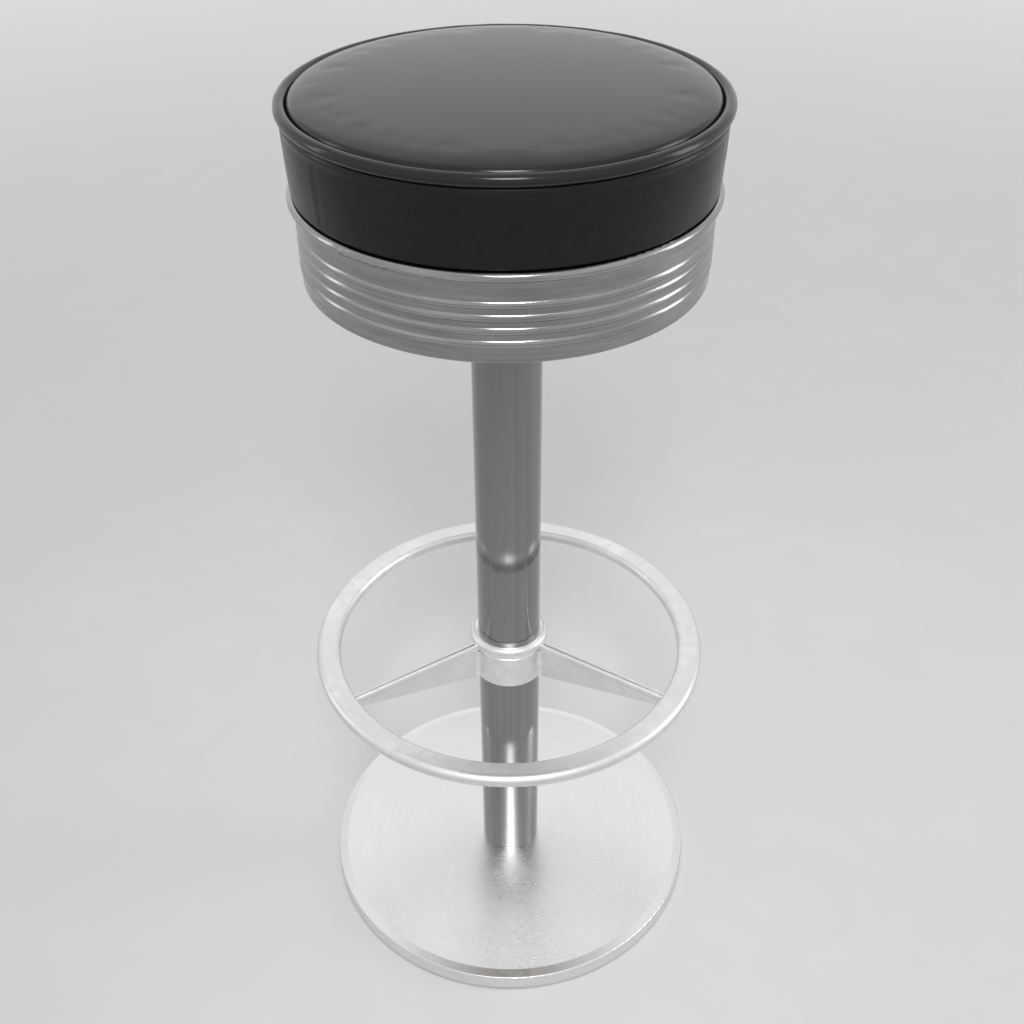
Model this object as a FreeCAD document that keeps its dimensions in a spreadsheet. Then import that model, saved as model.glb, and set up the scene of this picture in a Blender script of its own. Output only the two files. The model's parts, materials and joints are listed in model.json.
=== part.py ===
import FreeCAD, Part
import math
import os
import re
import Sketcher

# Diner counter stool, in millimetres. +Z is up, and the origin is on the floor on the column's axis.
# Each size that can be set by itself is written once here, and the sheet "Sizes" holds it.
SIZES = {
    # fits
    "close_fit": 0.05,
    "loose_fit": 0.1,
    # base
    "base_radius": 190,
    "base_height": 20,
    "rim_width": 9,
    "rim_drop": 1.5,
    "rim_round": 1,
    "cover_wall": 1.5,
    "cover_lift": 2,
    "weight_lift": 3,
    "weight_gap": 0.5,
    "floor_ring_inset": 12,
    "floor_ring_width": 12,
    "floor_ring_groove": 4,
    # column and its foot
    "column_radius": 30,
    "column_wall": 2.5,
    "column_length": 666,
    "foot_plug_length": 50,
    "spigot_step": 3,
    "foot_screw_radius": 4,
    "foot_screw_length": 40,
    "foot_screw_circle": 15,
    "foot_screw_count": 4,
    "foot_head_radius": 7.5,
    "foot_head_height": 4,
    "foot_socket_radius": 2.6,
    "foot_socket_depth": 2.5,
    # footring
    "footring_height": 302.4,
    "footring_radius": 176.1,
    "footring_width": 23.2,
    "footring_thickness": 13,
    "footring_turn": 30,
    "hub_wall": 4.45,
    "hub_depth": 33,
    "hub_chamfer": 1,
    "neck_depth": 0.8,
    "neck_low": 2.3,
    "neck_high": 5.9,
    "lip_reach": 3.8,
    "lip_middle": 11.1,
    "lip_top": 16.9,
    "lip_round": 6,
    "lip_face": 3.9,
    "lip_groove": 0.5,
    "spoke_count": 3,
    "bead_hub_radius": 4.6,
    "bead_ring_radius": 4.4,
    "bead_hub_height": 7.1,
    "bead_drop": 7.5,
    "bead_flare_length": 14,
    "bead_flare_radius": 6,
    "web_thickness": 5,
    "web_hub_depth": 31,
    "web_ring_depth": 8,
    "web_fillet": 5,
    "set_screw_radius": 4,
    "set_screw_depth": 12,
    "set_screw_recess": 0.4,
    "set_screw_socket_radius": 2,
    "set_screw_socket_depth": 2,
    "set_screw_count": 2,
    "set_screw_spread": 120,
    # swivel bearing
    "housing_flange": 4,
    "housing_length": 80,
    "housing_relief": 1.95,
    "housing_screw_radius": 2,
    "housing_screw_length": 8,
    "housing_screw_depth": 4.5,
    "housing_screw_count": 3,
    "bush_wall": 2.95,
    "bush_length": 22,
    "spindle_radius": 10,
    "spindle_tail": 5,
    "spindle_chamfer": 1,
    "race_clearance": 0.4,
    "race_width": 7.1,
    "race_thickness": 3,
    "race_gap": 4,
    "ball_radius": 2.75,
    "ball_count": 12,
    "cage_thickness": 2,
    "cage_inset": 0.4,
    "cup_wall": 1.5,
    "cup_clearance": 1.3,
    "cup_depth": 26,
    "washer_width": 6,
    "washer_thickness": 2,
    "washer_play": 0.3,
    "clip_width": 3.6,
    "clip_thickness": 1.2,
    "clip_groove": 1.2,
    "clip_opening": 60,
    # seat plate and board
    "plate_side": 170,
    "plate_corner": 12,
    "plate_thickness": 5,
    "plate_bolt_inset": 25,
    "plate_bolt_radius": 3,
    "plate_bolt_length": 21,
    "plate_bolt_count": 4,
    "bolt_head_radius": 5.25,
    "bolt_head_height": 3.3,
    "bolt_socket_radius": 2,
    "bolt_socket_depth": 2,
    "tee_barrel_wall": 0.95,
    "tee_barrel_length": 11,
    "tee_flange_radius": 9.5,
    "tee_flange_height": 1.5,
    "board_thickness": 18,
    # seat band
    "band_radius": 159.7,
    "band_wall": 1.5,
    "band_height": 70.05,
    "band_edge_round": 1.4,
    "band_bead_radius": 3.65,
    "band_lip_width": 16.7,
    "band_joint": 0.4,
    "band_joint_turn": 90,
    "rib_count": 4,
    "rib_first": 14.8,
    "rib_pitch": 9.85,
    "rib_width": 5.5,
    "rib_depth": 1.1,
    "band_screw_radius": 1.75,
    "band_screw_length": 12,
    "band_screw_inset": 7,
    "band_screw_count": 6,
    "band_screw_head_radius": 3.4,
    "band_screw_head_height": 1.6,
    # cushion
    "cover_skin": 1.2,
    "cushion_gap": 0.4,
    "cushion_overhang": 2.25,
    "cushion_flare": 3.05,
    "cushion_fold": 1.5,
    "flap_width": 30,
    "staple_inset": 24,
    "staple_count": 24,
    "staple_width": 10,
    "staple_leg": 7,
    "staple_wire": 0.8,
    "seam_gap": 0.2,
    "welt_height": 63.5,
    "welt_inset": 1.6,
    "welt_radius": 4.7,
    "panel_skirt": 3.3,
    "shoulder_lift": 2,
    "shoulder_round": 2.5,
    "shoulder_round_width": 1.5,
    "shoulder_round_height": 2.3,
    "shoulder_width": 22,
    "shoulder_rise": 5.2,
    "shoulder_bulge": 58,
    "crown_rise": 3.2,
}
FORMULA_WORDS = {"sqrt", "pi"}

# levels above the floor
WEIGHT_TOP = "(base_height - cover_wall)"
COLUMN_TOP = "(base_height + column_length)"
HOUSING_FOOT = f"({COLUMN_TOP} - housing_length)"
BEARING_FLOOR = f"({COLUMN_TOP} + housing_flange)"
BEARING_CEILING = f"({BEARING_FLOOR} + race_thickness + race_gap)"
CUP_UNDERSIDE = f"({BEARING_CEILING} + race_thickness)"
PLATE_UNDERSIDE = f"({CUP_UNDERSIDE} + cup_wall)"
BOARD_UNDERSIDE = f"({PLATE_UNDERSIDE} + plate_thickness)"
BOARD_TOP = f"({BOARD_UNDERSIDE} + board_thickness)"
FLAP_UNDERSIDE = f"({BOARD_UNDERSIDE} - cover_skin)"
BAND_UNDERSIDE = f"({FLAP_UNDERSIDE} - band_wall)"
BAND_TOP = f"({BAND_UNDERSIDE} + band_height)"
CUSHION_LEDGE = f"({BAND_TOP} + cushion_gap)"
WELT_LEVEL = f"({BAND_TOP} + welt_height)"
SIDE_TOP = f"({WELT_LEVEL} - welt_radius - seam_gap)"
CROWN_TOP = f"({WELT_LEVEL} + shoulder_lift + shoulder_round_height + shoulder_rise + crown_rise)"
WASHER_UNDERSIDE = f"({HOUSING_FOOT} - washer_play - washer_thickness)"

# radii and distances that mating pieces share
FLOOR_RING_RADIUS = "(base_radius - floor_ring_inset)"
COLUMN_BORE = "(column_radius - column_wall)"
SPIGOT_RADIUS = f"({COLUMN_BORE} - spigot_step)"
HUB_BORE = "(column_radius + close_fit)"
HUB_RADIUS = f"({HUB_BORE} + hub_wall)"
LIP_RADIUS = f"({HUB_RADIUS} + lip_reach)"
SPINDLE_BORE = "(spindle_radius + close_fit)"
BUSH_RADIUS = f"({SPINDLE_BORE} + bush_wall)"
RACE_BORE = "(spindle_radius + race_clearance)"
RACE_RADIUS = f"({RACE_BORE} + race_width)"
BALL_CIRCLE = f"({RACE_BORE} + race_width / 2)"
TRACK_RADIUS = "(ball_radius + close_fit)"
TRACK_HALF = f"sqrt({TRACK_RADIUS}^2 - (race_gap / 2)^2)"
CUP_RADIUS = "(column_radius + cup_clearance + cup_wall)"
CLIP_BORE = "(spindle_radius - clip_groove + loose_fit)"
BOLT_REACH = "(plate_side / 2 - plate_bolt_inset)"
TEE_RADIUS = "(plate_bolt_radius + close_fit + tee_barrel_wall)"
BAND_BORE = "(band_radius - band_wall)"
COVER_INSIDE = f"({BAND_BORE} - cushion_gap)"
BOARD_RADIUS = f"({COVER_INSIDE} - cover_skin - loose_fit)"
BAND_SCREW_CIRCLE = f"({BOARD_RADIUS} - band_screw_inset)"
STAPLE_CIRCLE = f"({COVER_INSIDE} - staple_inset)"
CUSHION_FOOT = "(band_radius + cushion_overhang)"
CUSHION_HEAD = f"({CUSHION_FOOT} + cushion_flare)"
WELT_CIRCLE = f"({CUSHION_HEAD} - welt_inset)"
SKIRT_RADIUS = f"({WELT_CIRCLE} - welt_radius - cushion_gap)"
CROWN_RADIUS = f"({SKIRT_RADIUS} - shoulder_width)"

doc = FreeCAD.newDocument("CounterStool")
sheet = doc.addObject("Spreadsheet::Sheet", "Sizes")
for row, (alias, size) in enumerate(SIZES.items(), start=1):
    sheet.set(f"A{row}", alias)
    sheet.set(f"B{row}", str(size))
    sheet.setAlias(f"B{row}", alias)
doc.recompute()


# Formulas


def from_sheet(formula):
    """Makes each size name in a formula read its cell in the sheet."""
    def read(word):
        return word.group(0) if word.group(0) in FORMULA_WORDS else "Sizes." + word.group(0)
    return re.sub(r"[a-z]\w*", read, formula)


def value(formula):
    """The present number of a formula."""
    return float(sheet.evalExpression(from_sheet(formula)))


def bind(thing, name, formula):
    """Ties a property of an object to a formula."""
    thing.setExpression(name, from_sheet(formula))


# Sketches


def arc_between(start, end, radius, side):
    """An arc and its centre, which is on the left (side 1) or the right (side -1) of the way."""
    chord = end.sub(start)
    reach = math.sqrt(radius**2 / chord.Length**2 - 0.25)
    across = FreeCAD.Vector(-chord.y, chord.x, 0)
    centre = start.add(end).multiply(0.5).add(across.multiply(side * reach))
    ends = (start, end) if side > 0 else (end, start)
    angles = [math.atan2(point.y - centre.y, point.x - centre.x) for point in ends]
    circle = Part.Circle(centre, FreeCAD.Vector(0, 0, 1), radius)
    return Part.ArcOfCircle(circle, *angles), centre


def centre_formula(start, end, radius, side, along):
    """The formula of the arc centre's first (along 0) or second (along 1) coordinate."""
    chord_x = f"(({end[0]}) - ({start[0]}))"
    chord_y = f"(({end[1]}) - ({start[1]}))"
    reach = f"sqrt(({radius})^2 / ({chord_x}^2 + {chord_y}^2) - 0.25)"
    across = f"{-side} * {chord_y}" if along == 0 else f"{side} * {chord_x}"
    return f"(({start[along]}) + ({end[along]})) / 2 + {across} * {reach}"


def draw_outline(sketch, corners):
    """A closed outline of corners (x, y), or (x, y, radius, side) where an arc leaves the corner."""
    first = sketch.GeometryCount
    places = [FreeCAD.Vector(value(corner[0]), value(corner[1]), 0) for corner in corners]
    curves, ends, constraints = [], [], []
    for index, corner in enumerate(corners):
        after = (index + 1) % len(corners)
        if len(corner) == 2:
            curves.append(Part.LineSegment(places[index], places[after]))
            ends.append((1, 2))
            continue
        radius, side = corner[2:]
        arc, centre = arc_between(places[index], places[after], value(radius), side)
        curves.append(arc)
        ends.append((1, 2) if side > 0 else (2, 1))
        way = places[after].sub(places[index])
        along = 0 if abs(way.y) > abs(way.x) else 1
        formula = centre_formula(corner, corners[after], radius, side, along)
        kind = ("DistanceX", "DistanceY")[along]
        constraints.append((formula, kind, -1, 1, first + index, 3, centre[along]))
    for index, corner in enumerate(corners):
        start = (first + index, ends[index][0])
        constraints.append((corner[0], "DistanceX", -1, 1, *start, places[index].x))
        constraints.append((corner[1], "DistanceY", -1, 1, *start, places[index].y))
        before = (index - 1) % len(corners)
        constraints.append((None, "Coincident", first + before, ends[before][1], *start))
    sketch.addGeometry(curves, False)
    sketch.addConstraint([Sketcher.Constraint(*constraint[1:]) for constraint in constraints])
    for index, constraint in enumerate(constraints):
        if constraint[0] is not None:
            bind(sketch, f"Constraints[{index}]", constraint[0])


def circle_corners(x, y, radius):
    """A circle as four quarter arcs."""
    return [
        (f"{x} + {radius}", y, radius, 1),
        (x, f"{y} + {radius}", radius, 1),
        (f"{x} - {radius}", y, radius, 1),
        (x, f"{y} - {radius}", radius, 1),
    ]


def ring_corners(inner, outer, low, high):
    """The section of a plain ring."""
    return [(inner, low), (outer, low), (outer, high), (inner, high)]


def pin_corners(inner_end, outer_end, radius):
    """Half the section of a level pin along X."""
    return [(inner_end, "0"), (outer_end, "0"), (outer_end, radius), (inner_end, radius)]


# Bodies and features


def new_body(name, level="0", turn="0"):
    """An empty sub-part at a level above the floor, turned about the upright axis."""
    body = doc.addObject("PartDesign::Body", name)
    body.Label = name
    body.AllowCompound = True
    upright = FreeCAD.Vector(0, 0, 1)
    body.Placement = FreeCAD.Placement(FreeCAD.Vector(), FreeCAD.Rotation(upright, value(turn)))
    bind(body, "Placement.Base.z", level)
    return body


def origin_feature(body, role):
    """One of a body's own origin planes or axes."""
    return next(feature for feature in body.Origin.OriginFeatures if feature.Role == role)


def new_sketch(body, role, name, corners, at=("0", "0", "0")):
    """A sketch on an origin plane, moved by (across, up, along the plane's normal)."""
    sketch = body.newObject("Sketcher::SketchObject", f"{body.Name}_{name}")
    sketch.AttachmentSupport = (origin_feature(body, role), [""])
    sketch.MapMode = "FlatFace"
    for axis, distance in zip("xyz", at):
        bind(sketch, f"AttachmentOffset.Base.{axis}", distance)
    draw_outline(sketch, corners)
    return sketch


def turned(body, corners, name="turning", axis="V_Axis", at=("0", "0", "0"), cut=False):
    """Turns an outline (radius, height) about an upright axis, or (length, radius) about a level one."""
    kind = "PartDesign::Groove" if cut else "PartDesign::Revolution"
    sketch = new_sketch(body, "XZ_Plane", f"{name}_outline", corners, at)
    feature = body.newObject(kind, f"{body.Name}_{name}")
    feature.Profile = sketch
    feature.ReferenceAxis = (sketch, [axis])
    feature.Angle = 360
    return feature


def padded(body, role, corners, length, name, at=("0", "0", "0"), both_ways=False):
    """Extrudes an outline along its plane's normal, or by half each way."""
    feature = body.newObject("PartDesign::Pad", f"{body.Name}_{name}")
    feature.Profile = new_sketch(body, role, f"{name}_outline", corners, at)
    feature.Midplane = both_ways
    bind(feature, "Length", length)
    return feature


def lofted(body, role, sections, name):
    """Joins outlines at (across, up, along) places."""
    sketches = [
        new_sketch(body, role, f"{name}_outline_{number}", corners, at)
        for number, (corners, at) in enumerate(sections)
    ]
    feature = body.newObject("PartDesign::AdditiveLoft", f"{body.Name}_{name}")
    feature.Profile = sketches[0]
    feature.Sections = sketches[1:]
    return feature


def repeated(body, features, count, spread="360"):
    """Repeats features round the upright axis."""
    pattern = body.newObject("PartDesign::PolarPattern", f"{features[-1].Name}_pattern")
    pattern.Originals = features
    pattern.Axis = (origin_feature(body, "Z_Axis"), [""])
    bind(pattern, "Angle", spread)
    bind(pattern, "Occurrences", count)
    body.Tip = pattern


# Base, which stands on a rubber ring


def floor_ring():
    body = new_body("floor_ring")
    inner = f"{FLOOR_RING_RADIUS} - floor_ring_width"
    turned(body, ring_corners(inner, FLOOR_RING_RADIUS, "0", "weight_lift + floor_ring_groove"))


def base_weight():
    body = new_body("base_weight")
    groove_inside = f"{FLOOR_RING_RADIUS} - floor_ring_width - loose_fit"
    groove_outside = f"{FLOOR_RING_RADIUS} + loose_fit"
    groove_top = "weight_lift + floor_ring_groove"
    edge = "base_radius - cover_wall - weight_gap"
    turned(body, [
        ("0", "weight_lift"),
        (groove_inside, "weight_lift"),
        (groove_inside, groove_top),
        (groove_outside, groove_top),
        (groove_outside, "weight_lift"),
        (edge, "weight_lift"),
        (edge, f"{WEIGHT_TOP} - rim_drop"),
        ("base_radius - rim_width - weight_gap", WEIGHT_TOP),
        ("0", WEIGHT_TOP),
    ])
    hole = turned(body, [
        ("0", "weight_lift"),
        ("foot_head_radius + loose_fit", "weight_lift"),
        ("foot_screw_radius + loose_fit", "weight_lift + foot_head_height + loose_fit"),
        ("foot_screw_radius + loose_fit", WEIGHT_TOP),
        ("0", WEIGHT_TOP),
    ], "screw_hole", at=("foot_screw_circle", "0", "0"), cut=True)
    repeated(body, [hole], "foot_screw_count")


def base_cover():
    body = new_body("base_cover")
    hole = f"{SPIGOT_RADIUS} + close_fit"
    turned(body, [
        (hole, WEIGHT_TOP),
        ("base_radius - rim_width", WEIGHT_TOP),
        ("base_radius - cover_wall", f"{WEIGHT_TOP} - rim_drop"),
        ("base_radius - cover_wall", "cover_lift"),
        ("base_radius", "cover_lift"),
        ("base_radius", "base_height - rim_drop - rim_round", "rim_round", 1),
        ("base_radius - rim_round", "base_height - rim_drop"),
        ("base_radius - rim_width", "base_height"),
        (hole, "base_height"),
    ])


# Column and its foot


def foot_plug():
    body = new_body("foot_plug")
    turned(body, [
        ("0", WEIGHT_TOP),
        (SPIGOT_RADIUS, WEIGHT_TOP),
        (SPIGOT_RADIUS, "base_height"),
        (f"{COLUMN_BORE} - close_fit", "base_height"),
        (f"{COLUMN_BORE} - close_fit", "base_height + foot_plug_length"),
        ("0", "base_height + foot_plug_length"),
    ])
    hole_top = "weight_lift + foot_screw_length + loose_fit"
    hole = turned(
        body, ring_corners("0", "foot_screw_radius + close_fit", WEIGHT_TOP, hole_top),
        "screw_hole", at=("foot_screw_circle", "0", "0"), cut=True,
    )
    repeated(body, [hole], "foot_screw_count")


def foot_screws():
    body = new_body("foot_screws")
    screw = turned(body, [
        ("0", "weight_lift + foot_socket_depth"),
        ("foot_socket_radius", "weight_lift + foot_socket_depth"),
        ("foot_socket_radius", "weight_lift"),
        ("foot_head_radius", "weight_lift"),
        ("foot_screw_radius", "weight_lift + foot_head_height"),
        ("foot_screw_radius", "weight_lift + foot_screw_length"),
        ("0", "weight_lift + foot_screw_length"),
    ], "screw", at=("foot_screw_circle", "0", "0"))
    repeated(body, [screw], "foot_screw_count")


def housing_screw_hole(body):
    """Cuts the level holes of the screws that hold the bearing housing in the column."""
    corners = pin_corners(
        "column_radius - housing_screw_length - loose_fit",
        "column_radius + loose_fit",
        "housing_screw_radius + close_fit",
    )
    level = f"{COLUMN_TOP} - housing_screw_depth"
    hole = turned(body, corners, "screw_hole", "H_Axis", ("0", level, "0"), cut=True)
    repeated(body, [hole], "housing_screw_count")


def column_tube():
    body = new_body("column_tube")
    turned(body, ring_corners(COLUMN_BORE, "column_radius", "base_height", COLUMN_TOP))
    housing_screw_hole(body)


# Footring: one casting of a hub, three webbed spokes and a ring, clamped on the column


def footring():
    body = new_body("footring", "footring_height", "footring_turn")
    footring_hub(body)
    spoke = [spoke_web(body), spoke_fillet(body), spoke_bead(body), spoke_flare(body)]
    repeated(body, spoke, "spoke_count")
    footring_ring(body)
    socket = pin_corners("column_radius", f"{HUB_RADIUS} + hub_chamfer", "set_screw_radius + close_fit")
    hole = turned(body, socket, "screw_hole", "H_Axis", ("0", "-set_screw_depth", "0"), cut=True)
    repeated(body, [hole], "set_screw_count", "set_screw_spread")


def footring_hub(body):
    """The hub, with a neck and a rolled lip that has a fine groove in its top face."""
    neck = f"{HUB_RADIUS} - neck_depth"
    groove = f"{HUB_BORE} + lip_face"
    turned(body, [
        (HUB_BORE, "-hub_depth"),
        (f"{HUB_RADIUS} - hub_chamfer", "-hub_depth"),
        (HUB_RADIUS, "hub_chamfer - hub_depth"),
        (HUB_RADIUS, "neck_low"),
        (neck, "neck_low + neck_depth"),
        (neck, "neck_high"),
        (f"{HUB_RADIUS} + hub_chamfer", "neck_high", "lip_round", 1),
        (LIP_RADIUS, "lip_middle", "lip_round", 1),
        (f"{groove} + lip_groove", "lip_top"),
        (groove, "lip_top - lip_groove"),
        (f"{groove} - lip_groove", "lip_top"),
        (HUB_BORE, "lip_top"),
    ], "hub")


def spoke_web(body):
    """The upright plate under a spoke, which tapers towards the ring."""
    root = f"{HUB_BORE} + hub_wall / 2"
    toe = f"{HUB_RADIUS} + web_fillet"
    tip = "footring_radius - footring_width / 4"
    return padded(body, "XZ_Plane", [
        (f"-({root})", "bead_hub_height"),
        (f"-({root})", "-web_hub_depth"),
        (f"-({toe})", "-web_hub_depth"),
        (f"-({tip})", "-web_ring_depth"),
        (f"-({tip})", "bead_hub_height - bead_drop"),
    ], "web_thickness", "web", both_ways=True)


def spoke_fillet(body):
    """The upright fillets between a spoke's web and the hub."""
    root = f"{HUB_RADIUS} - hub_wall / 2"
    foot = f"{HUB_RADIUS} - hub_wall / 8"
    toe = f"{HUB_RADIUS} + web_fillet"
    half = "web_thickness / 2"
    wide = f"{half} + web_fillet"
    return padded(body, "XY_Plane", [
        (f"-({root})", wide),
        (f"-({foot})", wide, "web_fillet * 1.05", -1),
        (f"-({toe})", half),
        (f"-({toe})", f"-{half}", "web_fillet * 1.05", -1),
        (f"-({foot})", f"-({wide})"),
        (f"-({root})", f"-({wide})"),
    ], "web_hub_depth + neck_low", "fillet", at=("0", "0", "-web_hub_depth"))


def spoke_bead(body):
    """The round bead along the top of a spoke."""
    root = f"{HUB_BORE} + hub_wall * 2 / 3"
    tip = "footring_radius - footring_width / 4"
    return lofted(body, "YZ_Plane", [
        (circle_corners("0", "bead_hub_height", "bead_hub_radius"), ("0", "0", f"-({root})")),
        (circle_corners("0", "bead_hub_height - bead_drop", "bead_ring_radius"), ("0", "0", f"-({tip})")),
    ], "bead")


def spoke_flare(body):
    """The bead's flared root on the ring."""
    tip = "footring_radius - footring_width / 4"
    level = "bead_hub_height - bead_drop"
    return lofted(body, "YZ_Plane", [
        (circle_corners("0", level, "bead_ring_radius"), ("0", "0", f"bead_flare_length - {tip}")),
        (circle_corners("0", level, "bead_flare_radius"), ("0", "0", f"-({tip})")),
    ], "flare")


def footring_ring(body):
    """The ring that the feet rest on: a flat oval section."""
    half = "footring_thickness / 2"
    inner = "footring_radius - footring_width / 2"
    outer = "footring_radius + footring_width / 2"
    turned(body, [
        (outer, "0", half, 1),
        (f"{outer} - {half}", half),
        (f"{inner} + {half}", half, half, 1),
        (inner, "0", half, 1),
        (f"{inner} + {half}", f"-{half}"),
        (f"{outer} - {half}", f"-{half}", half, 1),
    ], "ring")


def grub_screw_corners(inner_end, outer_end, radius, socket_radius, socket_depth):
    """Half the section of a level headless screw with a socket in its outer end."""
    return [
        (inner_end, "0"),
        (f"{outer_end} - {socket_depth}", "0"),
        (f"{outer_end} - {socket_depth}", socket_radius),
        (outer_end, socket_radius),
        (outer_end, radius),
        (inner_end, radius),
    ]


def footring_set_screws():
    body = new_body("footring_set_screws", "footring_height - set_screw_depth", "footring_turn")
    screw = turned(body, grub_screw_corners(
        "column_radius", f"{HUB_RADIUS} - set_screw_recess", "set_screw_radius",
        "set_screw_socket_radius", "set_screw_socket_depth",
    ), "screw", "H_Axis")
    repeated(body, [screw], "set_screw_count", "set_screw_spread")


# Swivel bearing in the top of the column


def bearing_housing():
    body = new_body("bearing_housing")
    bore = f"{BUSH_RADIUS} + close_fit"
    relief = "spindle_radius + housing_relief"
    outside = f"{COLUMN_BORE} - close_fit"
    turned(body, [
        (bore, HOUSING_FOOT),
        (outside, HOUSING_FOOT),
        (outside, COLUMN_TOP),
        ("column_radius", COLUMN_TOP),
        ("column_radius", BEARING_FLOOR),
        (bore, BEARING_FLOOR),
        (bore, f"{BEARING_FLOOR} - bush_length"),
        (relief, f"{BEARING_FLOOR} - bush_length"),
        (relief, f"{HOUSING_FOOT} + bush_length"),
        (bore, f"{HOUSING_FOOT} + bush_length"),
    ])
    housing_screw_hole(body)


def housing_screws():
    body = new_body("housing_screws", f"{COLUMN_TOP} - housing_screw_depth")
    screw = turned(body, grub_screw_corners(
        "column_radius - housing_screw_length", "column_radius - loose_fit", "housing_screw_radius",
        "housing_screw_radius / 2", "housing_screw_radius",
    ), "screw", "H_Axis")
    repeated(body, [screw], "housing_screw_count")


def upper_bush():
    body = new_body("upper_bush", f"{BEARING_FLOOR} - bush_length")
    turned(body, ring_corners(SPINDLE_BORE, BUSH_RADIUS, "0", "bush_length"))


def lower_bush():
    body = new_body("lower_bush", HOUSING_FOOT)
    turned(body, ring_corners(SPINDLE_BORE, BUSH_RADIUS, "0", "bush_length"))


def lower_race():
    body = new_body("lower_race", BEARING_FLOOR)
    turned(body, [
        (RACE_BORE, "0"),
        (RACE_RADIUS, "0"),
        (RACE_RADIUS, "race_thickness"),
        (f"{BALL_CIRCLE} + {TRACK_HALF}", "race_thickness", TRACK_RADIUS, -1),
        (f"{BALL_CIRCLE} - {TRACK_HALF}", "race_thickness"),
        (RACE_BORE, "race_thickness"),
    ])


def upper_race():
    body = new_body("upper_race", BEARING_CEILING)
    turned(body, [
        (RACE_BORE, "0"),
        (f"{BALL_CIRCLE} - {TRACK_HALF}", "0", TRACK_RADIUS, -1),
        (f"{BALL_CIRCLE} + {TRACK_HALF}", "0"),
        (RACE_RADIUS, "0"),
        (RACE_RADIUS, "race_thickness"),
        (RACE_BORE, "race_thickness"),
    ])


def bearing_balls():
    body = new_body("bearing_balls", f"{BEARING_FLOOR} + race_thickness + race_gap / 2")
    ball = turned(body, [
        ("0", "-ball_radius", "ball_radius", 1),
        ("ball_radius", "0", "ball_radius", 1),
        ("0", "ball_radius"),
    ], "ball", at=(BALL_CIRCLE, "0", "0"))
    repeated(body, [ball], "ball_count")


def ball_cage():
    body = new_body("ball_cage", f"{BEARING_FLOOR} + race_thickness + race_gap / 2")
    inner = f"{RACE_BORE} + cage_inset"
    outer = f"{RACE_RADIUS} - cage_inset"
    turned(body, ring_corners(inner, outer, "-cage_thickness / 2", "cage_thickness / 2"))
    pocket = ring_corners("0", "ball_radius + loose_fit", "-cage_thickness", "cage_thickness")
    hole = turned(body, pocket, "ball_hole", at=(BALL_CIRCLE, "0", "0"), cut=True)
    repeated(body, [hole], "ball_count")


def bearing_cover():
    """The pressed cup over the bearing, whose skirt hangs round the top of the column."""
    body = new_body("bearing_cover", CUP_UNDERSIDE)
    turned(body, [
        (SPINDLE_BORE, "0"),
        (f"{CUP_RADIUS} - cup_wall", "0"),
        (f"{CUP_RADIUS} - cup_wall", "-cup_depth"),
        (CUP_RADIUS, "-cup_depth"),
        (CUP_RADIUS, "0", "cup_wall", 1),
        (f"{CUP_RADIUS} - cup_wall", "cup_wall"),
        (SPINDLE_BORE, "cup_wall"),
    ])


def swivel_spindle():
    body = new_body("swivel_spindle")
    groove = "spindle_radius - clip_groove"
    groove_foot = f"{WASHER_UNDERSIDE} - clip_thickness - loose_fit"
    foot = f"{groove_foot} - spindle_tail"
    turned(body, [
        ("0", foot),
        ("spindle_radius - spindle_chamfer", foot),
        ("spindle_radius", f"{foot} + spindle_chamfer"),
        ("spindle_radius", groove_foot),
        (groove, groove_foot),
        (groove, WASHER_UNDERSIDE),
        ("spindle_radius", WASHER_UNDERSIDE),
        ("spindle_radius", BOARD_UNDERSIDE),
        ("0", BOARD_UNDERSIDE),
    ])


def spindle_washer():
    body = new_body("spindle_washer", WASHER_UNDERSIDE)
    bore = "spindle_radius + loose_fit"
    turned(body, ring_corners(bore, f"{bore} + washer_width", "0", "washer_thickness"))


def spindle_clip():
    body = new_body("spindle_clip", f"{WASHER_UNDERSIDE} - clip_thickness")
    clip = turned(body, ring_corners(CLIP_BORE, f"{CLIP_BORE} + clip_width", "0", "clip_thickness"))
    bind(clip, "Angle", "360 - clip_opening")


# Seat plate and board


def bolt_place():
    """The first plate bolt, in a corner of the square plate."""
    return (BOLT_REACH, "0", f"-{BOLT_REACH}")


def seat_plate():
    body = new_body("seat_plate", PLATE_UNDERSIDE)
    side = "plate_side / 2"
    inside = f"({side} - plate_corner)"
    padded(body, "XY_Plane", [
        (inside, f"-{side}", "plate_corner", 1),
        (side, f"-{inside}"),
        (side, inside, "plate_corner", 1),
        (inside, side),
        (f"-{inside}", side, "plate_corner", 1),
        (f"-{side}", inside),
        (f"-{side}", f"-{inside}", "plate_corner", 1),
        (f"-{inside}", f"-{side}"),
    ], "plate_thickness", "plate")
    turned(body, ring_corners("0", SPINDLE_BORE, "0", "plate_thickness"), "spindle_hole", cut=True)
    bolt_hole = ring_corners("0", "plate_bolt_radius + loose_fit", "0", "plate_thickness")
    hole = turned(body, bolt_hole, "bolt_hole", at=bolt_place(), cut=True)
    repeated(body, [hole], "plate_bolt_count")


def plate_bolts():
    body = new_body("plate_bolts", PLATE_UNDERSIDE)
    bolt = turned(body, [
        ("0", "bolt_socket_depth - bolt_head_height"),
        ("bolt_socket_radius", "bolt_socket_depth - bolt_head_height"),
        ("bolt_socket_radius", "-bolt_head_height"),
        ("bolt_head_radius", "-bolt_head_height"),
        ("bolt_head_radius", "0"),
        ("plate_bolt_radius", "0"),
        ("plate_bolt_radius", "plate_bolt_length"),
        ("0", "plate_bolt_length"),
    ], "bolt", at=bolt_place())
    repeated(body, [bolt], "plate_bolt_count")


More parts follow.
